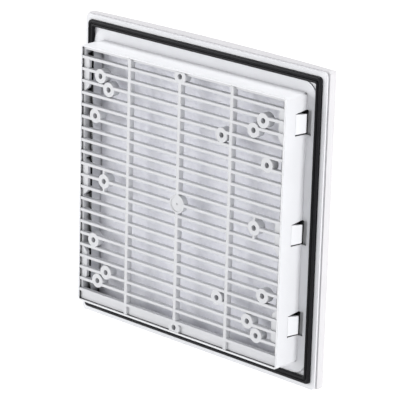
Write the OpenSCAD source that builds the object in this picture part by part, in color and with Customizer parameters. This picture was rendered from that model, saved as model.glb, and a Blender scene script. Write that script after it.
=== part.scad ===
// Exhaust filter for an enclosure wall, seen from behind: a housing with a slatted
// rear grille goes through the panel, six snap tongues hold it, a seal lies on the
// flange, and a hinged louvre cover closes the front over the filter mat.
// +Y points to the rear, into the enclosure. Y = 0 is the face that the seal gives the panel.

/* [Face] */
// How far the louvre cover reaches out past the housing
face_reach = 19.5; // [18.5:0.25:20.5]
// How far the cover stands out past the flange
cover_lap = 0.8; // [0.4:0.1:1.2]
// Radius of the flange's outer corners
face_corner_r = 3.5; // [3:0.25:5]
// Thickness of the flange without its raised rim
flange_t = 1.4; // [1.2:0.1:2]
// Height of the raised rim and of the raised field round the housing
field_t = 1; // [0.6:0.1:1.4]
// Width of the raised rim outside the seal
rim_w = 3.9; // [3.2:0.1:4.6]
// Corner radius of the raised field round the housing
field_corner_r = 13; // [9:0.5:16]
// Step along the flange's front edge, which leaves a shadow line at the cover
edge_step = 0.8; // [0.4:0.1:1.2]

/* [Housing] */
// Width and height of the housing behind the flange
housing_size = 220; // [216:1:222]
// Depth of the housing behind the flange
housing_depth = 24.5; // [23.5:0.5:28]
// Wall of the housing
housing_wall = 1.5; // [1.3:0.1:1.8]
// Outer corner radius of the housing
housing_corner_r = 2.6; // [1.2:0.2:4]

/* [Seal] */
// Width of the seal strip
seal_w = 5.3; // [4.8:0.1:5.8]
// How far the seal stands proud of the flange
seal_proud = 2.6; // [1.6:0.1:3.4]
// Width of the groove along the middle of the seal
seal_groove_w = 1.3; // [0.8:0.1:2]
// Depth of that groove
seal_groove_d = 1.2; // [0.6:0.1:1.5]
// Outer corner radius of the seal
seal_corner_r = 3.2; // [2:0.2:5]

/* [Rear grille] */
// Distance from slat to slat
slat_pitch = 10; // [9:0.5:12]
// Thickness of a slat
slat_t = 2.4; // [1.8:0.1:3]
// Depth of a slat
slat_d = 4; // [3:0.25:6]
// Thickness of an upright rib
rib_t = 3; // [2.4:0.1:4]
// Depth of an upright rib
rib_d = 5; // [4:0.25:7]
// Width of the grille's border
border_w = 2; // [1.6:0.1:2.4]
// How far the border lies below the rear face of the slats
border_step = 1.9; // [1:0.1:2.5]
// Depth of the border's skirt
skirt_d = 9.4; // [8.4:0.1:10.4]

/* [Fan bosses] */
// Outer radius of a boss
boss_r = 6; // [5:0.1:6.6]
// Depth of a boss
boss_d = 7; // [5:0.25:7.2]
// Radius of the screw hole in a boss
boss_hole_r = 2.25; // [1.75:0.05:2.6]
// Hole spacing of the large square pattern
large_square = 175; // [170:1:178]
// Hole spacing of the small square pattern
small_square = 156; // [150:1:160]
// Hole spacing across the wide pattern
wide_span = 185.6; // [182:0.2:188]
// Hole spacing up the wide pattern
wide_rise = 106.4; // [104:0.2:109]
// Hole spacing between the two bosses at mid height
middle_span = 163.6; // [160:0.2:168]
// Distance from the housing's edge to the bosses on the centre line
centre_inset = 5.2; // [5:0.1:6]
// Distance from the centre line to the single pair of bosses
pair_offset = 45.3; // [43:0.1:47]
// Hole spacing up the single pair
pair_rise = 134; // [130:1:137]
// Radius of the disc in the middle
hub_r = 7.7; // [6.5:0.1:9]

/* [Snap tongues] */
// Distance from the housing's top to the middle of the top tongue
tongue_top_inset = 23.3; // [22:0.1:30]
// Distance from the centre down to the middle tongue
tongue_middle_drop = 2; // [0:0.5:8]
// Distance from the housing's bottom to the middle of the bottom tongue
tongue_low_inset = 33; // [23:0.5:38]
// Distance from a tongue's root to the panel face
tongue_root_y = 9.6; // [9:0.1:11]
// Distance from a tongue's free end to the panel face
tongue_tip_y = 0.1; // [0:0.1:1]
// How far the tip stands out from the housing wall
tongue_reach = 3.1; // [2.4:0.1:3.4]
// Height of a tongue at its root
tongue_h = 16.2; // [14:0.2:16.6]
// How much less high a tongue is at its tip
tongue_taper = 1.6; // [0.8:0.1:3]
// Radius of the rounded root
tongue_root_r = 0.7; // [0.6:0.05:0.75]
// Thickness of the free end
tongue_tip_t = 1.8; // [1.4:0.1:2.4]
// Height of the window at the flange
window_h = 20.2; // [19:0.2:22]
// Slit below the root of the tongue
window_slit = 1.1; // [0.6:0.1:1.5]
// How far the window reaches out into the flange
window_reach = 4.8; // [4:0.1:5.4]
// Half height of the pocket behind a window, at the wall
pocket_half_h = 17.4; // [16.4:0.1:18.4]
// How far the pocket reaches in from the wall's outer face
pocket_reach = 6.3; // [6:0.1:7]
// Thickness of the pocket's walls
pocket_t = 1.4; // [1:0.1:1.6]
// Distance from the pocket's closed end to the rear face
pocket_end = 4.5; // [4:0.1:5.5]

/* [Mat, retainer and support grid] */
// Thickness of the filter mat
mat_t = 10; // [8:0.5:10.5]
// Distance from the housing's outer face to the retainer's inner face
retainer_inset = 8.2; // [7.8:0.1:9]
// Thickness of the retainer's uprights
retainer_t = 1.6; // [1:0.1:1.6]
// Distance from the retainer's uprights to the tabs of the grille
retainer_clear = 2.3; // [1.4:0.1:3]
// Thickness of the support grid
grid_t = 1.8; // [1.4:0.1:2.2]
// Width of the support grid's border outside the housing opening
grid_lap = 4.4; // [3:0.2:5]
// Width of the support grid's border inside the housing opening
grid_border_w = 8; // [6:0.5:12]
// Distance from bar to bar in the support grid
grid_pitch = 25.4; // [20:0.2:30]
// Width of a bar in the support grid
grid_bar_w = 2.2; // [1.6:0.1:3]

/* [Louvre cover] */
// Depth of the cover at its sides
cover_side_d = 13; // [12.4:0.1:15]
// How much deeper the cover is in the middle, where it bows out
cover_bow = 5; // [3:0.25:7]
// Wall of the cover
cover_wall = 2.2; // [1.8:0.1:2.6]
// Radius of the cover's front edges
cover_edge_r = 9; // [7:0.25:10]
// Bevel of the cover's outer corners
cover_corner_cut = 2; // [1.5:0.25:3]
// Width of the cover's plain border
cover_border_w = 20; // [17:0.5:26]
// Distance from louvre to louvre
louvre_pitch = 12.2; // [11:0.1:14]
// Thickness of a louvre
louvre_t = 1.8; // [1.4:0.1:2.4]
// Depth of a louvre
louvre_d = 7; // [5:0.25:7.5]
// How far a louvre slopes down towards the front
louvre_drop = 5.4; // [4:0.2:7]
// Thickness of the upright ribs behind the louvres
louvre_rib_t = 2; // [1.6:0.1:3]

/* [Cover hinge and catches] */
// Distance from the cover's side to each hinge
hinge_inset = 41; // [31:1:56]
// Distance from the flange's front face to the hinge axis
hinge_gap = 4; // [3.8:0.1:5]
// Distance from the cover's lower edge up to the hinge axis
hinge_rise = 3.5; // [3.4:0.1:3.8]
// Radius of a hinge pin
pin_r = 1.5; // [1.2:0.05:1.6]
// Radius of the hinge knuckles
knuckle_r = 3; // [2.7:0.1:3.2]
// Width of the knuckle on the flange
lug_w = 8; // [6:0.5:10]
// Width of each knuckle on the cover
knuckle_w = 6; // [4:0.5:8]
// Distance from the cover's side to each catch peg
catch_side_inset = 51; // [36:1:66]
// Width of a catch peg
catch_w = 6; // [4:0.5:8]
// Height of a catch peg
catch_h = 3; // [2.4:0.1:4]

/* [Hidden] */
// Clearance between pieces that lie close together
fit_gap = 0.2;
// Clearance round a piece that moves
move_gap = 0.4;
// Clearance round the rounded root of a tongue
root_gap = 0.15;
// Radial running clearance of the hinge pins
pin_gap = 0.08;
// Gap between the flange and the cover
cover_gap = 0.3;
// How far a cut runs past the face it cuts
over = 0.5;
// How far joined pieces run into each other
bite = 0.3;
// Depth of the recess in the middle disc
hub_recess = 0.5;
// Width of the raised edge of the middle disc
hub_edge = 1.2;
// Radius of the dimple in the middle disc
hub_dimple_r = 0.8;
// Thickness of the webs that tie the middle bosses to their slats
web_t = 1.8;
// Inner corner radius of the housing
inner_corner_r = 0.8;
// Inner corner radius of the seal
seal_inner_r = 1.4;
// Corner radius of the support grid
grid_corner_r = 4;
// Distance from the centre line to each hook that holds the grid
hook_x = 48;
// Width of a hook that holds the grid
hook_w = 9;
// Thickness of those hooks
hook_t = 1.6;
// Wall of the jaws that grip a catch peg
jaw_t = 2;
// Height of those jaws above the flange
jaw_d = 5.5;
// Distance from the face's outer edge to the middle of a catch peg
catch_inset = 8;
// Corner radius of the louvre field
field_opening_r = 3;
// Share of the rounded root's radius at which a tongue's sides start
root_share = 0.9;
// Number of flats on round pieces
round_fn = 48;
// Number of flats on the wide curve of the cover
bow_fn = 1200;

flange_rear_y = -seal_proud;
channel_y = flange_rear_y - field_t;
flange_front_y = channel_y - flange_t;
rear_y = flange_rear_y + housing_depth;
housing_half = housing_size / 2;
wall_in = housing_half - housing_wall;
face_half = housing_half + face_reach;
flange_half = face_half - cover_lap;
seal_out = flange_half - rim_w - fit_gap;
seal_in = seal_out - seal_w;
border_out = wall_in - fit_gap;
border_in = border_out - border_w;
border_y = rear_y - border_step;
skirt_y = rear_y - skirt_d;
pocket_y = rear_y - pocket_end;
pocket_in = housing_half - pocket_reach;
pocket_rise = wall_in - pocket_in;
retainer_in = housing_half - retainer_inset;
retainer_end = pocket_y - retainer_clear;
mat_rear_y = flange_front_y + mat_t;
grid_front_y = flange_front_y - grid_t;
cover_rear_y = flange_front_y - cover_gap;
cover_side_y = cover_rear_y - cover_side_d;
cover_mid_y = cover_side_y - cover_bow;
bow_r = (face_half * face_half + cover_bow * cover_bow) / (2 * cover_bow);
bow_y = cover_mid_y + bow_r;
opening_half = face_half - cover_border_w;
hinge_x = face_half - hinge_inset;
catch_x = face_half - catch_side_inset;
hinge_y = flange_front_y - hinge_gap;
hinge_z = hinge_rise - face_half;
catch_z = face_half - catch_inset;
knuckle_edge = lug_w / 2 + move_gap;
tongue_root_x = housing_half - housing_wall / 2;
tongue_half_h = tongue_h / 2;
tongue_heights = [housing_half - tongue_top_inset, -tongue_middle_drop, tongue_low_inset - housing_half];
rib_pitch = housing_size / 4;
centre_rise = housing_size - 2 * centre_inset;

// Outlines and their extrusions

module rounded_rectangle(w, h, r) {
    square([w - 2 * r, h], center = true);
    square([w, h - 2 * r], center = true);
    for (sx = [-1, 1]) {
        for (sz = [-1, 1]) {
            translate([sx * (w / 2 - r), sz * (h / 2 - r)]) circle(r = r, $fn = round_fn);
        }
    }
}

// Extrudes an outline given in X and Z
module along_y(y_front, y_rear) {
    translate([0, y_rear, 0]) rotate([90, 0, 0]) linear_extrude(y_rear - y_front) children();
}

// Extrudes an outline given in Y and Z
module along_x(x_left, x_right) {
    translate([x_left, 0, 0]) rotate([90, 0, 90]) linear_extrude(x_right - x_left) children();
}

// Extrudes an outline given in X and Y
module along_z(z_low, z_high) {
    translate([0, 0, z_low]) linear_extrude(z_high - z_low) children();
}

module plate(half, r, y_front, y_rear) {
    along_y(y_front, y_rear) rounded_rectangle(2 * half, 2 * half, r);
}

module block(x, y, z) {
    translate([x[0], y[0], z[0]]) cube([x[1] - x[0], y[1] - y[0], z[1] - z[0]]);
}

module rod_y(x, z, r, y_front, y_rear) {
    translate([x, y_rear, z]) rotate([90, 0, 0]) cylinder(r = r, h = y_rear - y_front, $fn = round_fn);
}

module rod_x(y, z, r, x_left, x_right) {
    translate([x_left, y, z]) rotate([0, 90, 0]) cylinder(r = r, h = x_right - x_left, $fn = round_fn);
}

module both_sides() {
    children();
    mirror([1, 0, 0]) children();
}

// Repeats something at each tongue, on both sides
module at_tongues() {
    both_sides() for (z = tongue_heights) translate([0, 0, z]) children();
}

// Base frame

// The flange has a channel for the seal between its rim and the field round the housing
module flange() {
    difference() {
        union() {
            plate(flange_half, face_corner_r, channel_y - flange_t / 2, flange_rear_y);
            plate(flange_half - edge_step, face_corner_r - edge_step, flange_front_y, flange_rear_y);
        }
        difference() {
            plate(seal_out + fit_gap, seal_corner_r + fit_gap, channel_y, flange_rear_y + over);
            plate(seal_in - fit_gap, field_corner_r, channel_y - over, flange_rear_y + 2 * over);
        }
    }
}

module housing_wall_tube() {
    plate(housing_half, housing_corner_r, flange_front_y, rear_y);
}

// Outline of a pocket in X and Z, drawn in by an amount all round
module pocket_outline(inset) {
    x_in = pocket_in + inset;
    half_in = pocket_half_h - pocket_rise - inset;
    half_out = half_in + (wall_in + bite - x_in);
    polygon([[x_in, -half_in], [x_in, half_in], [wall_in + bite, half_out], [wall_in + bite, -half_out]]);
}

module pocket_shell() {
    along_y(flange_front_y, pocket_y) pocket_outline(0);
}

module pocket_hollow() {
    along_y(flange_front_y - over, pocket_y - pocket_t) pocket_outline(pocket_t);
}

// The window runs from the tongue's root through the flange, and its upper edge rises
module window_cut() {
    top_root = tongue_half_h + move_gap;
    low_root = -tongue_half_h - window_slit;
    half = window_h / 2;
    along_x(wall_in - bite, housing_half + window_reach) polygon([
        [flange_front_y - over, -half], [tongue_root_y, low_root],
        [tongue_root_y, top_root], [flange_front_y - over, half]
    ]);
    translate([tongue_root_x, tongue_root_y, low_root])
        cylinder(r = tongue_root_r + root_gap, h = top_root - low_root, $fn = round_fn);
}

module hinge_lug() {
    rod_x(hinge_y, hinge_z, knuckle_r, hinge_x - lug_w / 2, hinge_x + lug_w / 2);
    block([hinge_x - lug_w / 2, hinge_x + lug_w / 2], [hinge_y, flange_front_y + bite],
          [hinge_z - knuckle_r + move_gap, hinge_z + knuckle_r - move_gap]);
}

// A hook over the edge of the support grid
module grid_hook() {
    edge = wall_in + grid_lap + fit_gap;
    block([hook_x - hook_w / 2, hook_x + hook_w / 2],
          [grid_front_y - fit_gap - hook_t, flange_front_y + bite], [edge, edge + hook_t]);
    block([hook_x - hook_w / 2, hook_x + hook_w / 2],
          [grid_front_y - fit_gap - hook_t, grid_front_y - fit_gap / 2], [edge - hook_t, edge + hook_t]);
}

// Two jaws that grip a catch peg of the cover
module catch_jaws() {
    inner = catch_w / 2 + fit_gap;
    for (x = [catch_x - inner - jaw_t, catch_x + inner]) {
        block([x, x + jaw_t], [flange_front_y - jaw_d, flange_front_y + bite],
              [catch_z - catch_h, catch_z + catch_h]);
    }
}

module base_frame() {
    color([0.87, 0.88, 0.89])
    difference() {
        union() {
            difference() {
                union() {
                    flange();
                    housing_wall_tube();
                }
                plate(wall_in, inner_corner_r, flange_front_y - over, rear_y + over);
            }
            at_tongues() pocket_shell();
            both_sides() {
                hinge_lug();
                catch_jaws();
                grid_hook();
                mirror([0, 0, 1]) grid_hook();
            }
        }
        at_tongues() {
            pocket_hollow();
            window_cut();
        }
        both_sides() rod_x(hinge_y, hinge_z, pin_r + pin_gap,
                           hinge_x - lug_w / 2 - over, hinge_x + lug_w / 2 + over);
    }
}

// Rear grille

slat_count = floor((border_in - slat_t) / slat_pitch);

module slats() {
    for (i = [-slat_count : slat_count]) {
        block([-border_out, border_out], [rear_y - slat_d, rear_y],
              [i * slat_pitch - slat_t / 2, i * slat_pitch + slat_t / 2]);
    }
}

module ribs() {
    for (i = [-1 : 1]) {
        block([i * rib_pitch - rib_t / 2, i * rib_pitch + rib_t / 2], [rear_y - rib_d, rear_y],
              [-border_out, border_out]);
    }
}

// The grille is closed below its lowest slat
module closed_strip() {
    block([-border_in - bite, border_in + bite], [rear_y - slat_d, border_y],
          [-border_in - bite, -slat_count * slat_pitch]);
}

function square_places(w, h) = [for (sx = [-1, 1]) for (sz = [-1, 1]) [sx * w / 2, sz * h / 2]];

boss_places = concat(
    square_places(large_square, large_square),
    square_places(small_square, small_square),
    square_places(wide_span, wide_rise),
    [[middle_span / 2, 0], [-middle_span / 2, 0]],
    [[0, centre_rise / 2], [0, -centre_rise / 2]],
    [[-pair_offset, pair_rise / 2], [-pair_offset, -pair_rise / 2]]
);

module boss_bodies() {
    intersection() {
        for (p = boss_places) rod_y(p[0], p[1], boss_r, rear_y - boss_d, rear_y);
        plate(border_out, inner_corner_r, rear_y - boss_d - over, rear_y + over);
    }
}

module boss_holes() {
    for (p = boss_places) rod_y(p[0], p[1], boss_hole_r, rear_y - boss_d - over, rear_y + over);
}

module middle_webs() {
    both_sides() block([middle_span / 2 - web_t / 2, middle_span / 2 + web_t / 2],
                       [rear_y - slat_d, rear_y], [-slat_pitch, slat_pitch]);
}

// Tabs of the border close the pockets of the base frame
module pocket_tabs() {
    half_in = pocket_half_h - pocket_rise;
    reach = pocket_in - retainer_in;
    along_y(pocket_y, border_y) polygon([
        [retainer_in, -half_in + reach], [retainer_in, half_in - reach],
        [border_out, half_in + border_out - pocket_in], [border_out, -half_in - border_out + pocket_in]
    ]);
}

module rear_grille() {
    color([0.87, 0.88, 0.89])
    difference() {
        union() {
            difference() {
                plate(border_out, inner_corner_r, skirt_y, border_y);
                plate(border_in, inner_corner_r, skirt_y - over, border_y + over);
                at_tongues() along_y(skirt_y - over, pocket_y) pocket_outline(-move_gap);
            }
            slats();
            ribs();
            closed_strip();
            boss_bodies();
            middle_webs();
            rod_y(0, 0, hub_r, rear_y - rib_d, rear_y);
            at_tongues() pocket_tabs();
        }
        boss_holes();
        rod_y(0, 0, hub_r - hub_edge, rear_y - hub_recess, rear_y + over);
        rod_y(0, 0, hub_dimple_r, rear_y - 2 * hub_recess, rear_y + over);
    }
}

// Seal

module panel_seal() {
    color([0.13, 0.13, 0.15])
    difference() {
        plate(seal_out, seal_corner_r, channel_y, 0);
        plate(seal_in, seal_inner_r, channel_y - over, over);
        difference() {
            plate(seal_out - (seal_w - seal_groove_w) / 2, seal_corner_r, -seal_groove_d, over);
            plate(seal_in + (seal_w - seal_groove_w) / 2, seal_inner_r, -seal_groove_d - over, 2 * over);
        }
    }
}

// Mat with its retainer and its support grid

module mat_retainer() {
    color([0.80, 0.81, 0.82])
    union() {
        both_sides() {
            block([retainer_in, retainer_in + retainer_t], [mat_rear_y, skirt_y], [-border_out, border_out]);
            block([retainer_in, retainer_in + retainer_t], [mat_rear_y, retainer_end],
                  [fit_gap - border_in, border_in - fit_gap]);
        }
        for (sz = [-1, 1]) {
            mirror([0, 0, (1 - sz) / 2]) block([inner_corner_r - border_out, border_out - inner_corner_r],
                [mat_rear_y, skirt_y], [border_in, border_out]);
        }
    }
}

module filter_mat() {
    color([0.84, 0.84, 0.90])
    difference() {
        plate(border_out, inner_corner_r, flange_front_y, mat_rear_y);
        at_tongues() along_y(flange_front_y - over, mat_rear_y + over) pocket_outline(-move_gap);
    }
}

module support_grid() {
    half = wall_in + grid_lap;
    inner = wall_in - grid_border_w;
    bars = floor((inner - grid_bar_w) / grid_pitch);
    color([0.84, 0.85, 0.86])
    union() {
        difference() {
            plate(half, grid_corner_r, grid_front_y, flange_front_y);
            plate(inner, grid_corner_r, grid_front_y - over, flange_front_y + over);
        }
        for (i = [-bars : bars]) {
            block([i * grid_pitch - grid_bar_w / 2, i * grid_pitch + grid_bar_w / 2],
                  [grid_front_y, flange_front_y], [-inner - bite, inner + bite]);
            block([-inner - bite, inner + bite], [grid_front_y, flange_front_y],
                  [i * grid_pitch - grid_bar_w / 2, i * grid_pitch + grid_bar_w / 2]);
        }
    }
}

// Louvre cover

// Section of the bowed front in distance from the bow's axis and height
module bow_section(half, r, inset, depth) {
    front = bow_r - inset;
    translate([front - depth, -half]) square([depth - r, 2 * half]);
    translate([front - depth, -half + r]) square([depth, 2 * half - 2 * r]);
    for (sz = [-1, 1]) translate([front - r, sz * (half - r)]) circle(r = r, $fn = round_fn);
}

module bowed(half, r, inset, depth) {
    translate([0, bow_y, 0]) rotate_extrude($fn = bow_fn) bow_section(half, r, inset, depth);
}

// Plan of the cover's sides, with their rounded front edges
module side_plan(half, r, y_side) {
    translate([-half, y_side + r]) square([2 * half, cover_rear_y - y_side - r + over]);
    translate([-half + r, cover_mid_y - over]) square([2 * half - 2 * r, cover_rear_y - cover_mid_y + over]);
    for (sx = [-1, 1]) translate([sx * (half - r), y_side + r]) circle(r = r, $fn = round_fn);
}

// Square of the cover with bevelled corners
module bevelled_square(half, cut) {
    polygon([
        [half - cut, half], [half, half - cut], [half, cut - half], [half - cut, -half],
        [cut - half, -half], [-half, cut - half], [-half, half - cut], [cut - half, half]
    ]);
}

// Outer form of the cover, drawn in by an amount all round
module cover_form(inset, y_rear) {
    half = face_half - inset;
    r = cover_edge_r - inset;
    intersection() {
        along_y(cover_mid_y - over, y_rear) bevelled_square(half, cover_corner_cut - inset / 2);
        bowed(half, r, inset, 2 * (cover_side_d + cover_bow));
        along_z(-face_half, face_half) side_plan(half, r, cover_side_y + inset);
    }
}

louvre_count = floor((opening_half - louvre_drop) / louvre_pitch);

// Section of one louvre, which slopes down to the front
module louvre_section() {
    front = bow_r - cover_wall / 2;
    polygon([
        [front, -louvre_drop / 2 - louvre_t], [front, -louvre_drop / 2],
        [front - louvre_d, louvre_drop / 2], [front - louvre_d, louvre_drop / 2 - louvre_t]
    ]);
}

module louvres() {
    intersection() {
        translate([0, bow_y, 0]) rotate_extrude($fn = bow_fn) {
            for (i = [-louvre_count : louvre_count]) translate([0, i * louvre_pitch]) louvre_section();
        }
        block([-opening_half - bite, opening_half + bite], [cover_mid_y - over, cover_rear_y],
              [-opening_half - bite, opening_half + bite]);
    }
}

module louvre_ribs() {
    intersection() {
        for (i = [-1 : 1]) {
            block([i * rib_pitch - louvre_rib_t / 2, i * rib_pitch + louvre_rib_t / 2],
                  [cover_mid_y, cover_rear_y], [-opening_half - bite, opening_half + bite]);
        }
        bowed(opening_half + bite, field_opening_r, cover_wall, louvre_d - cover_wall);
    }
}

// The lower rear edge is rounded about the hinge, so that it clears the flange as it turns
module hinge_relief() {
    difference() {
        block([-face_half - over, face_half + over], [hinge_y, flange_front_y],
              [-face_half - over, hinge_z]);
        rod_x(hinge_y, hinge_z, hinge_rise, -face_half - 2 * over, face_half + 2 * over);
    }
    both_sides() block([hinge_x - knuckle_edge, hinge_x + knuckle_edge],
                       [hinge_y - knuckle_r - move_gap, flange_front_y],
                       [-face_half - over, hinge_z + knuckle_r + move_gap]);
}

module cover_knuckles() {
    for (x = [hinge_x - knuckle_edge - knuckle_w, hinge_x + knuckle_edge]) {
        rod_x(hinge_y, hinge_z, knuckle_r, x, x + knuckle_w);
        block([x, x + knuckle_w], [hinge_y - knuckle_r - cover_wall / 2, hinge_y],
              [hinge_z - knuckle_r / 2, hinge_z + knuckle_r]);
    }
}

module catch_peg() {
    front_y = bow_y - sqrt(bow_r * bow_r - catch_x * catch_x);
    block([catch_x - catch_w / 2, catch_x + catch_w / 2],
          [front_y + cover_wall / 2, flange_front_y - cover_gap],
          [catch_z - catch_h / 2, catch_z + catch_h / 2]);
}

module louvre_cover() {
    color([0.93, 0.93, 0.94])
    difference() {
        union() {
            difference() {
                cover_form(0, cover_rear_y);
                cover_form(cover_wall, cover_rear_y + over);
                along_y(cover_mid_y - over, cover_rear_y)
                    rounded_rectangle(2 * opening_half, 2 * opening_half, field_opening_r);
                hinge_relief();
            }
            louvres();
            louvre_ribs();
            both_sides() {
                cover_knuckles();
                catch_peg();
            }
        }
        both_sides() rod_x(hinge_y, hinge_z, pin_r, hinge_x - knuckle_edge - knuckle_w - over,
                           hinge_x + knuckle_edge + knuckle_w + over);
    }
}

module hinge_pin() {
    color([0.62, 0.63, 0.65])
    rod_x(hinge_y, hinge_z, pin_r, hinge_x - knuckle_edge - knuckle_w, hinge_x + knuckle_edge + knuckle_w);
}

module hinge_pin_left() { hinge_pin(); }
module hinge_pin_right() { mirror([1, 0, 0]) hinge_pin(); }

// Snap tongues

// Plan of a tongue in X and Y, on the +X side, from its rounded root to its free end
module tongue_plan() {
    tip_x = housing_half + tongue_reach;
    root_in = tongue_root_x - tongue_root_r * root_share;
    root_out = tongue_root_x + tongue_root_r * root_share;
    half_t = tongue_tip_t / 2;
    polygon([
        [root_out, tongue_root_y], [tip_x, tongue_tip_y + half_t],
        [tip_x - half_t / 2, tongue_tip_y], [tip_x - tongue_tip_t, tongue_tip_y],
        [root_in + bite, (tongue_root_y + tongue_tip_y) * 2 / 3], [root_in, tongue_root_y]
    ]);
}

// Side view of a tongue in Y and Z, less high at its free end
module tongue_side() {
    tip_half = tongue_half_h - tongue_taper / 2;
    polygon([
        [tongue_tip_y - over, -tip_half], [tongue_root_y - tongue_root_r, -tongue_half_h],
        [tongue_root_y + over, -tongue_half_h], [tongue_root_y + over, tongue_half_h],
        [tongue_root_y - tongue_root_r, tongue_half_h], [tongue_tip_y - over, tip_half]
    ]);
}

module tongue(z) {
    color([0.89, 0.90, 0.92])
    translate([0, 0, z])
    union() {
        translate([tongue_root_x, tongue_root_y, -tongue_half_h])
            cylinder(r = tongue_root_r, h = tongue_h, $fn = round_fn);
        intersection() {
            along_z(-tongue_half_h, tongue_half_h) tongue_plan();
            along_x(wall_in - housing_wall, housing_half + 2 * tongue_reach) tongue_side();
        }
    }
}

module tongue_left_top() { tongue(tongue_heights[0]); }
module tongue_left_middle() { tongue(tongue_heights[1]); }
module tongue_left_bottom() { tongue(tongue_heights[2]); }
module tongue_right_top() { mirror([1, 0, 0]) tongue(tongue_heights[0]); }
module tongue_right_middle() { mirror([1, 0, 0]) tongue(tongue_heights[1]); }
module tongue_right_bottom() { mirror([1, 0, 0]) tongue(tongue_heights[2]); }

base_frame();
rear_grille();
panel_seal();
mat_retainer();
filter_mat();
support_grid();
louvre_cover();
hinge_pin_left();
hinge_pin_right();
tongue_left_top();
tongue_left_middle();
tongue_left_bottom();
tongue_right_top();
tongue_right_middle();
tongue_right_bottom();
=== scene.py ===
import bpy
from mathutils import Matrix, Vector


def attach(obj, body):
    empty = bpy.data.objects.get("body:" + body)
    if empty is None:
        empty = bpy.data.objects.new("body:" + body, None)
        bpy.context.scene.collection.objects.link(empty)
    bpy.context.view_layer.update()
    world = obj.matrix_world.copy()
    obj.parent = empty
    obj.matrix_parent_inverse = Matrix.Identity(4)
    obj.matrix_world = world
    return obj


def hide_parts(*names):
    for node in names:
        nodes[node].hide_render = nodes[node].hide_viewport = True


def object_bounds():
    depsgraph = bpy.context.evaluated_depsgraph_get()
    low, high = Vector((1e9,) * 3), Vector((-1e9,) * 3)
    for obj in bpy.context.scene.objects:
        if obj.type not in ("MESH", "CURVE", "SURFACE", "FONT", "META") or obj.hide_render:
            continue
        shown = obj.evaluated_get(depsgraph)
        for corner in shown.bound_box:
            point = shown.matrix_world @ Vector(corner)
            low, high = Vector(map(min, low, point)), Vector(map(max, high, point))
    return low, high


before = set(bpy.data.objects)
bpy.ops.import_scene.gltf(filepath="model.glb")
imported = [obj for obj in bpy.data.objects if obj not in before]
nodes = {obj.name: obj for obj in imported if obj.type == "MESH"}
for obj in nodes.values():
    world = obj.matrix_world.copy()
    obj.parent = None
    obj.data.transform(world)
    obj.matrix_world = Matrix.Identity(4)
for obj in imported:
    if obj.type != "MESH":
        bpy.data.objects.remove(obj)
cad_box = [list(v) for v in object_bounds()]

import math
import random

import bpy
import bmesh
from mathutils import Matrix, Vector, noise

MM = 0.001
RANDOM_SEED = 7
random.seed(RANDOM_SEED)
scene = bpy.context.scene


def extent(name, axis):
    """The lowest and highest place of a solid of the frame on an axis, in millimetres."""
    solid = nodes[name]
    places = [(solid.matrix_world @ Vector(corner))["XYZ".index(axis)] / MM for corner in solid.bound_box]
    return round(min(places), 3), round(max(places), 3)


# Camera, fitted to the edges of the housing and the flange in the photograph
# Place in metres, angles in radians, lens and sensor in millimetres
CAM_PLACE = Vector((-1.27868, 1.40151, 0.60672))
CAM_YAW, CAM_PITCH, CAM_ROLL = 0.73764, 0.31013, 0.02783
CAM_LENS, CAM_SENSOR = 223.74, 36.0
CAM_NEAR, CAM_FAR = 0.05, 60.0


def make_camera():
    """A camera at its fitted place, turned by yaw and pitch and then rolled about its own view."""
    look = Vector((math.sin(CAM_YAW) * math.cos(CAM_PITCH),
                   -math.cos(CAM_YAW) * math.cos(CAM_PITCH),
                   -math.sin(CAM_PITCH)))
    level = look.cross(Vector((0, 0, 1))).normalized()
    upright = level.cross(look)
    right = math.cos(CAM_ROLL) * level + math.sin(CAM_ROLL) * upright
    up = math.cos(CAM_ROLL) * upright - math.sin(CAM_ROLL) * level
    data = bpy.data.cameras.new("camera")
    data.sensor_width = CAM_SENSOR
    data.lens = CAM_LENS
    data.clip_start, data.clip_end = CAM_NEAR, CAM_FAR
    camera = bpy.data.objects.new("camera", data)
    scene.collection.objects.link(camera)
    placed = Matrix((right, up, -look)).transposed().to_4x4()
    placed.translation = CAM_PLACE
    camera.matrix_world = placed
    scene.camera = camera


make_camera()


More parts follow.
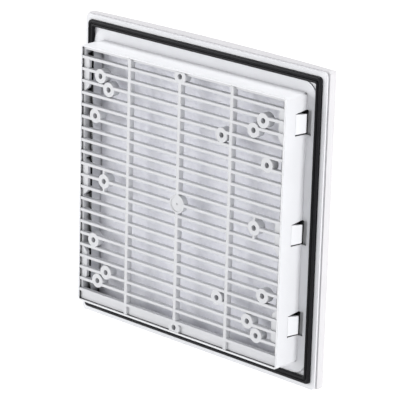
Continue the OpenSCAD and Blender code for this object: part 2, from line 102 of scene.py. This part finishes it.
# Materials
# Noise scales are in turns per metre
class Graph:
    """A small helper that adds nodes to a material and links them."""

    def __init__(self, name):
        self.material = bpy.data.materials.new(name)
        self.material.use_nodes = True
        self.tree = self.material.node_tree
        self.shader = self.tree.nodes["Principled BSDF"]

    def add(self, kind, **values):
        node = self.tree.nodes.new(kind)
        for key, value in values.items():
            setattr(node, key, value)
        return node

    def link(self, out, slot):
        self.tree.links.new(out, slot)

    def fix(self, **values):
        """Sets constants on the shader's own sockets; an underscore stands for a space."""
        for key, value in values.items():
            self.shader.inputs[key.replace("_", " ")].default_value = value

    def feed(self, **outs):
        """Links outputs to the shader's own sockets; an underscore stands for a space."""
        for key, out in outs.items():
            self.link(out, self.shader.inputs[key.replace("_", " ")])

    def coords(self, stretch=(1, 1, 1)):
        place = self.add("ShaderNodeTexCoord")
        mapping = self.add("ShaderNodeMapping")
        mapping.inputs["Scale"].default_value = stretch
        self.link(place.outputs["Object"], mapping.inputs["Vector"])
        return mapping.outputs["Vector"]

    def noise(self, vector, scale, detail=3.0, roughness=0.5):
        texture = self.add("ShaderNodeTexNoise")
        texture.inputs["Scale"].default_value = scale
        texture.inputs["Detail"].default_value = detail
        texture.inputs["Roughness"].default_value = roughness
        self.link(vector, texture.inputs["Vector"])
        return texture.outputs["Fac"]

    def ramp(self, value, stops):
        """A colour ramp; each stop is its position and its colour."""
        node = self.add("ShaderNodeValToRGB")
        ends = node.color_ramp.elements
        ends[0].position, ends[0].color = stops[0][0], (*stops[0][1], 1)
        ends[1].position, ends[1].color = stops[-1][0], (*stops[-1][1], 1)
        for position, colour in stops[1:-1]:
            ends.new(position).color = (*colour, 1)
        self.link(value, node.inputs["Fac"])
        return node.outputs["Color"]

    def span(self, value, out_low, out_high, in_low=0.0, in_high=1.0):
        """Maps the range from in_low to in_high to the one from out_low to out_high."""
        node = self.add("ShaderNodeMapRange")
        node.inputs["From Min"].default_value = in_low
        node.inputs["From Max"].default_value = in_high
        node.inputs["To Min"].default_value = out_low
        node.inputs["To Max"].default_value = out_high
        self.link(value, node.inputs["Value"])
        return node.outputs["Result"]

    def multiply(self, colour, shade, share):
        """The colour times the shade; share is how much of that is taken, a number or an output."""
        node = self.add("ShaderNodeMix", data_type="RGBA", blend_type="MULTIPLY")
        factor, first, second, result = node.inputs[0], node.inputs[6], node.inputs[7], node.outputs[2]
        if isinstance(share, float):
            factor.default_value = share
        else:
            self.link(share, factor)
        self.link(colour, first)
        self.link(shade, second)
        return result

    # Mask that keeps the painted shade to the inside of a square, such as the housing
    def within(self, half, blur):
        """1 inside a square of this half width about the Y axis, falling to 0 just outside it."""
        axes = self.add("ShaderNodeSeparateXYZ")
        self.link(self.coords(), axes.inputs["Vector"])
        farthest = self.add("ShaderNodeMath", operation="MAXIMUM")
        for slot, axis in enumerate(("X", "Z")):
            distance = self.add("ShaderNodeMath", operation="ABSOLUTE")
            self.link(axes.outputs[axis], distance.inputs[0])
            self.link(distance.outputs[0], farthest.inputs[slot])
        return self.span(farthest.outputs[0], 1.0, 0.0, half, half + blur)

    def bump(self, height, distance, strength, below=None):
        node = self.add("ShaderNodeBump")
        node.inputs["Distance"].default_value = distance
        node.inputs["Strength"].default_value = strength
        self.link(height, node.inputs["Height"])
        if below is not None:
            self.link(below, node.inputs["Normal"])
        return node.outputs["Normal"]


CLOUD_SHADE = 0.965
# Samples for the occlusion reading behind the painted shade in hollows, and for the soft edges
PAINTED_SHADE_SAMPLES, EDGE_SAMPLES = 24, 4
EDGE_RADIUS = 0.45 * MM
WAVE_HEIGHT, GRAIN_HEIGHT = 0.12 * MM, 0.02 * MM
# Painted shade: the darkness at the middle stop of the hollow darkening
HALF_PAINTED_SHADE = 0.55
INSIDE_BLUR = 0.3 * MM
ROUGH_DIP, ROUGH_RISE = 0.05, 0.07


def plastic(name, tone, rough=0.42, knee=(0.04, 0.16, 0.34), deep=0.10, reach=30 * MM, inside=None):
    """Light grey moulded ABS with a faint cloudy tone, flow marks, soft edges and a fine grain.

    Painted shade: hollows that are open to less than the knee's three shares of the space within reach
    are darkened in the base colour, down to deep, standing in for the shade in them. With inside, only
    those in a square of that half width are.
    """
    g = Graph(name)
    place = g.coords()
    cloud = g.noise(place, scale=34.0, detail=4.0)
    cloudy = tuple(part * CLOUD_SHADE for part in tone)
    body = g.ramp(cloud, [(0.3, cloudy), (0.7, tone)])
    # Painted shade: an occlusion reading darkens the base colour where hollows and creases lie in shade
    hollow = g.add("ShaderNodeAmbientOcclusion", samples=PAINTED_SHADE_SAMPLES)
    hollow.inputs["Distance"].default_value = reach
    darks = (deep, HALF_PAINTED_SHADE, 1)
    shade = g.ramp(hollow.outputs["AO"], [(stop, (dark,) * 3) for stop, dark in zip(knee, darks)])
    share = 1.0 if inside is None else g.within(inside, INSIDE_BLUR)
    g.feed(Base_Color=g.multiply(body, shade, share))
    flow = g.noise(g.coords(stretch=(1, 1, 0.18)), scale=160.0, detail=2.0)
    g.feed(Roughness=g.span(flow, rough - ROUGH_DIP, rough + ROUGH_RISE))
    grain = g.noise(place, scale=5200.0, detail=2.0, roughness=0.6)
    wave = g.noise(place, scale=60.0, detail=1.0)
    edge = g.add("ShaderNodeBevel", samples=EDGE_SAMPLES)
    edge.inputs["Radius"].default_value = EDGE_RADIUS
    soft = g.bump(wave, WAVE_HEIGHT, strength=0.6, below=edge.outputs["Normal"])
    g.feed(Normal=g.bump(grain, GRAIN_HEIGHT, strength=0.5, below=soft))
    g.fix(Specular_IOR_Level=0.42)
    return g.material


def rubber(name):
    """Black foamed rubber with a fine speckle and a pored skin."""
    g = Graph(name)
    place = g.coords()
    speck = g.noise(place, scale=900.0, detail=4.0, roughness=0.6)
    g.feed(Base_Color=g.ramp(speck, [(0.35, (0.004, 0.004, 0.005)), (0.75, (0.011, 0.011, 0.014))]))
    g.feed(Roughness=g.span(g.noise(place, scale=240.0), 0.30, 0.44))
    pores = g.noise(place, scale=2600.0, roughness=0.65)
    g.feed(Normal=g.bump(pores, distance=0.08 * MM, strength=0.6))
    g.fix(Specular_IOR_Level=0.15)
    return g.material


def fleece(name):
    """White synthetic fleece: tangled fibres at two scales and a soft cool tone."""
    g = Graph(name)
    place = g.coords()
    tuft = g.noise(place, scale=150.0, detail=5.0, roughness=0.6)
    tones = [(0.25, (0.78, 0.785, 0.85)), (0.5, (0.87, 0.875, 0.93)), (0.8, (0.92, 0.925, 0.96))]
    g.feed(Base_Color=g.ramp(tuft, tones))
    g.fix(Roughness=0.95, Sheen_Weight=0.35, Sheen_Roughness=0.6, Specular_IOR_Level=0.15)
    fibre = g.noise(g.coords(stretch=(1, 1, 0.25)), scale=2100.0, roughness=0.7)
    lump = g.bump(g.noise(place, scale=260.0), distance=1.1 * MM, strength=0.5)
    g.feed(Normal=g.bump(fibre, distance=0.3 * MM, strength=0.6, below=lump))
    return g.material


def steel(name):
    """Drawn steel wire, streaked along X."""
    g = Graph(name)
    place = g.coords(stretch=(0.02, 1, 1))
    streak = g.noise(place, scale=3000.0, detail=2.0)
    g.feed(Base_Color=g.ramp(streak, [(0.3, (0.45, 0.46, 0.48)), (0.7, (0.62, 0.63, 0.65))]))
    g.feed(Roughness=g.span(g.noise(place, scale=1500.0, detail=2.0), 0.25, 0.4))
    g.fix(Metallic=1.0)
    return g.material


HOUSING_HALF = 110
# How far inside the walls' outer faces the painted shade stops, in millimetres
WALL_SKIN = 0.4

# Painted shade: the pockets behind the tongue windows and other hollows inside the housing walls are
# darkened almost to black; outside the walls' outer faces nothing is darkened
HOUSING = plastic("housing_plastic", tone=(0.75, 0.755, 0.78), knee=(0.40, 0.50, 0.62), deep=0.015,
                  reach=12 * MM, inside=(HOUSING_HALF - WALL_SKIN) * MM)
# Painted shade: the grille takes a darker copy of the housing's grey, standing in for shade on it, and
# its deep holes are darkened as well
GRILLE_SHADED = plastic("grille_plastic_shaded", tone=(0.615, 0.62, 0.64), knee=(0.02, 0.08, 0.16))
# Painted shade: the tongues and the cover are darkened in their hollows too, the cover only in its
# deepest ones
TONGUE = plastic("tongue_plastic", tone=(0.77, 0.775, 0.80))
COVER = plastic("cover_plastic", tone=(0.69, 0.68, 0.70), rough=0.38, knee=(0.0, 0.03, 0.07), deep=0.3)
RUBBER = rubber("seal_rubber")
FLEECE = fleece("mat_fleece")
STEEL = steel("pin_steel")


def dress(start, material):
    """Gives the material to every solid whose name starts so."""
    for name in nodes:
        if name.startswith(start):
            mesh = nodes[name].data
            mesh.materials.clear()
            mesh.materials.append(material)


for solid in ("base_frame", "mat_retainer", "support_grid"):
    dress(solid, HOUSING)
dress("rear_grille", GRILLE_SHADED)
dress("louvre_cover", COVER)
dress("tongue_", TONGUE)
dress("hinge_pin_", STEEL)


def new_piece(name, bm, material, body):
    """Turns the mesh under work into a smooth piece that rides on a body."""
    bmesh.ops.recalc_face_normals(bm, faces=bm.faces)
    mesh = bpy.data.meshes.new(name)
    bm.to_mesh(mesh)
    bm.free()
    mesh.materials.append(material)
    piece = bpy.data.objects.new(name, mesh)
    scene.collection.objects.link(piece)
    for face in mesh.polygons:
        face.use_smooth = True
    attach(piece, body)
    return piece


# Seal, in millimetres
# A soft strip with two lips and a groove between them, laid round the channel of the flange
SEAL_WIDTH = 5.3
SEAL_OUT = extent("panel_seal", "X")[1]
SEAL_IN = SEAL_OUT - SEAL_WIDTH
SEAL_IN_RADIUS, SEAL_OUT_RADIUS = 1.4, 3.2
SEAL_LIFTED = 0.05
SEAL_LOW = extent("panel_seal", "Y")[0] + SEAL_LIFTED
SIDE_STEPS, CORNER_STEPS = 150, 10
# Half of its section, from the inner foot to the groove: share of the strip's width, and height
HALF_SECTION = [
    (0.0, SEAL_LOW), (0.0, -1.1), (0.02, -0.55), (0.07, -0.22), (0.14, -0.06), (0.22, 0.0),
    (0.30, -0.05), (0.36, -0.2), (0.405, -0.55), (0.44, -1.0), (0.5, -1.15),
]
SEAL_SECTION = HALF_SECTION + [(1 - share, height) for share, height in reversed(HALF_SECTION[:-1])]
# The strip sinks a little and waves along its run
SEAL_SINK = 0.08
WAVE_PER_MM = 0.03
LONG_WAVE, LONG_WAVE_RISE = 1.3, 0.10
SHORT_WAVE, SHORT_WAVE_RISE = 5.0, 0.04


def seal_run(share):
    """The points of a rounded square at this share of the strip's width."""
    half = SEAL_IN + (SEAL_OUT - SEAL_IN) * share
    radius = SEAL_IN_RADIUS + (SEAL_OUT_RADIUS - SEAL_IN_RADIUS) * share
    straight = half - radius
    side = [(half, -straight + 2 * straight * i / SIDE_STEPS) for i in range(SIDE_STEPS)]
    for i in range(CORNER_STEPS):
        angle = i / CORNER_STEPS * math.pi / 2
        side.append((straight + radius * math.cos(angle), straight + radius * math.sin(angle)))
    run = []
    for quarter in range(4):
        cos, sin = math.cos(quarter * math.pi / 2), math.sin(quarter * math.pi / 2)
        run += [(x * cos - z * sin, x * sin + z * cos) for x, z in side]
    return run


def seal_lift(x, z):
    """How far the strip's upper side lies below its plain height here."""
    place = Vector((x, 0, z)) * WAVE_PER_MM
    wave = noise.noise(place * LONG_WAVE) * LONG_WAVE_RISE
    wave += noise.noise(place * SHORT_WAVE) * SHORT_WAVE_RISE
    return min(0.0, wave - SEAL_SINK)


def make_seal():
    bm = bmesh.new()
    rings = []
    for share, height in SEAL_SECTION:
        ring = []
        for x, z in seal_run(share):
            lift = seal_lift(x, z) if height > SEAL_LOW else 0.0
            ring.append(bm.verts.new((x * MM, (height + lift) * MM, z * MM)))
        rings.append(ring)
    count = len(rings[0])
    for first, second in zip(rings, rings[1:] + rings[:1]):
        for i in range(count):
            j = (i + 1) % count
            bm.faces.new((first[i], first[j], second[j], second[i]))
    seal = new_piece("seal_strip", bm, RUBBER, "frame")
    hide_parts("panel_seal")


make_seal()

# Filter mat, in millimetres
# A thick fleece, fluffy on both faces, that leaves room for the six pockets of the housing
SIDE_ROOM, FACE_ROOM = 0.2, 0.05
MAT_HALF = extent("filter_mat", "X")[1] - SIDE_ROOM
MAT_FRONT, MAT_REAR = extent("filter_mat", "Y")[0] + FACE_ROOM, extent("filter_mat", "Y")[1] - FACE_ROOM
MAT_CELL = 2.0
POCKET_IN, POCKET_HALF = 103.2, 13.2
TONGUE_HEIGHTS = [sum(extent("tongue_right_" + place, "Z")) / 2 for place in ("top", "middle", "bottom")]
FLUFF_HEIGHT = 0.9
FACE_SPREAD = 10
COARSE_PER_MM, FINE_PER_MM = 0.16, 0.45
COARSE_SHARE, FINE_SHARE, LOOSE_SHARE = 0.55, 0.3, 0.15
# Its faces are drawn together near the cut edge, and the edge is hollow in the middle
EDGE_WIDTH, EDGE_ROLL = 4.0, 0.9
WAIST = 0.5
WAIST_SHARE, WAIST_WAVE_SHARE, WAIST_WAVES = 0.6, 0.4, 120


def mat_limit(z):
    """Where the mat ends in X at this height: further in beside a pocket, with sloped shoulders."""
    limit = MAT_HALF
    for tongue_z in TONGUE_HEIGHTS:
        limit = min(limit, POCKET_IN + max(0.0, abs(z - tongue_z) - POCKET_HALF))
    return limit


def unit_noise(place):
    return 0.5 + 0.5 * noise.noise(place)


def fluff(x, y, z):
    place = Vector((x, FACE_SPREAD * y, z))
    coarse, fine = unit_noise(place * COARSE_PER_MM), unit_noise(place * FINE_PER_MM)
    return COARSE_SHARE * coarse + FINE_SHARE * fine + LOOSE_SHARE * random.random()


def mat_face(bm, y_face, inward, count):
    """One face of the mat as a grid of points; inward is the direction of its middle in Y."""
    grid = []
    for i in range(count + 1):
        z = -MAT_HALF + 2 * MAT_HALF * i / count
        limit = mat_limit(z)
        row = []
        for k in range(count + 1):
            x = (-1 + 2 * k / count) * limit
            to_edge = min(limit - abs(x), MAT_HALF - abs(z)) / EDGE_WIDTH
            sink = FLUFF_HEIGHT * fluff(x, y_face, z) + EDGE_ROLL * max(0.0, 1.0 - to_edge) ** 2
            row.append(bm.verts.new((x * MM, (y_face + inward * sink) * MM, z * MM)))
        grid.append(row)
    for i in range(count):
        for k in range(count):
            bm.faces.new((grid[i][k], grid[i][k + 1], grid[i + 1][k + 1], grid[i + 1][k]))
    return grid


def border(grid):
    """The points round the edge of a grid, in order."""
    last = len(grid) - 1
    low = [grid[0][k] for k in range(last)]
    high = [grid[last][k] for k in range(last, 0, -1)]
    return low + [grid[i][last] for i in range(last)] + high + [grid[i][0] for i in range(last, 0, -1)]


def make_mat():
    bm = bmesh.new()
    count = int(2 * MAT_HALF / MAT_CELL)
    front = border(mat_face(bm, MAT_FRONT, 1, count))
    rear = border(mat_face(bm, MAT_REAR, -1, count))
    waist = []
    for fore, aft in zip(front, rear):
        middle = (fore.co + aft.co) / 2
        depth = WAIST * MM * (WAIST_SHARE + WAIST_WAVE_SHARE * noise.noise(middle * WAIST_WAVES))
        waist.append(bm.verts.new(middle + Vector((-middle.x, 0, -middle.z)).normalized() * depth))
    for i in range(len(front)):
        j = (i + 1) % len(front)
        bm.faces.new((front[i], front[j], waist[j], waist[i]))
        bm.faces.new((waist[i], waist[j], rear[j], rear[i]))
    mat = new_piece("fleece_mat", bm, FLEECE, "frame")
    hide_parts("filter_mat")


make_mat()

# Floor and light, in metres and watts
FLOOR_HALF = 40.0
FLOOR_TONE = (0.26, 0.26, 0.26, 1)
FLOOR_GLOW, FLOOR_GLOW_STRENGTH = (1, 1, 1, 1), 0.9
# Each lamp: name, place, side of its square, power; all are aimed at the middle of the part
LAMPS = [
    ("key_side", (-2.3, 0.10, 0.45), 1.2, 34.5),
    ("fill_rear", (1.9, 2.0, 0.5), 1.8, 64.0),
    ("top", (0.3, -0.4, 2.1), 1.2, 41.0),
]
SKY_TONE, SKY_STRENGTH = (0.98, 0.99, 1.0, 1), 0.22


def make_floor():
    """A white paper floor at the part's foot, which glows a little so that shadows stay faint."""
    bm = bmesh.new()
    bmesh.ops.create_grid(bm, x_segments=1, y_segments=1, size=FLOOR_HALF)
    mesh = bpy.data.meshes.new("floor")
    bm.to_mesh(mesh)
    bm.free()
    floor = bpy.data.objects.new("floor", mesh)
    floor.location = (0, 0, cad_box[0][2])
    scene.collection.objects.link(floor)
    g = Graph("floor_white")
    g.fix(Base_Color=FLOOR_TONE, Roughness=0.9, Specular_IOR_Level=0.1,
          Emission_Color=FLOOR_GLOW, Emission_Strength=FLOOR_GLOW_STRENGTH)
    mesh.materials.append(g.material)


def make_lamp(name, place, side, power):
    data = bpy.data.lights.new(name, "AREA")
    data.shape = "SQUARE"
    data.size = side
    data.energy = power
    lamp = bpy.data.objects.new(name, data)
    lamp.location = place
    lamp.rotation_mode = "QUATERNION"
    lamp.rotation_quaternion = (-Vector(place)).to_track_quat("-Z", "Y")
    scene.collection.objects.link(lamp)


def make_sky():
    sky = bpy.data.worlds.new("studio")
    sky.use_nodes = True
    background = sky.node_tree.nodes["Background"]
    background.inputs["Color"].default_value = SKY_TONE
    background.inputs["Strength"].default_value = SKY_STRENGTH
    scene.world = sky


make_floor()
for lamp in LAMPS:
    make_lamp(*lamp)
make_sky()
scene.view_settings.view_transform = "Standard"
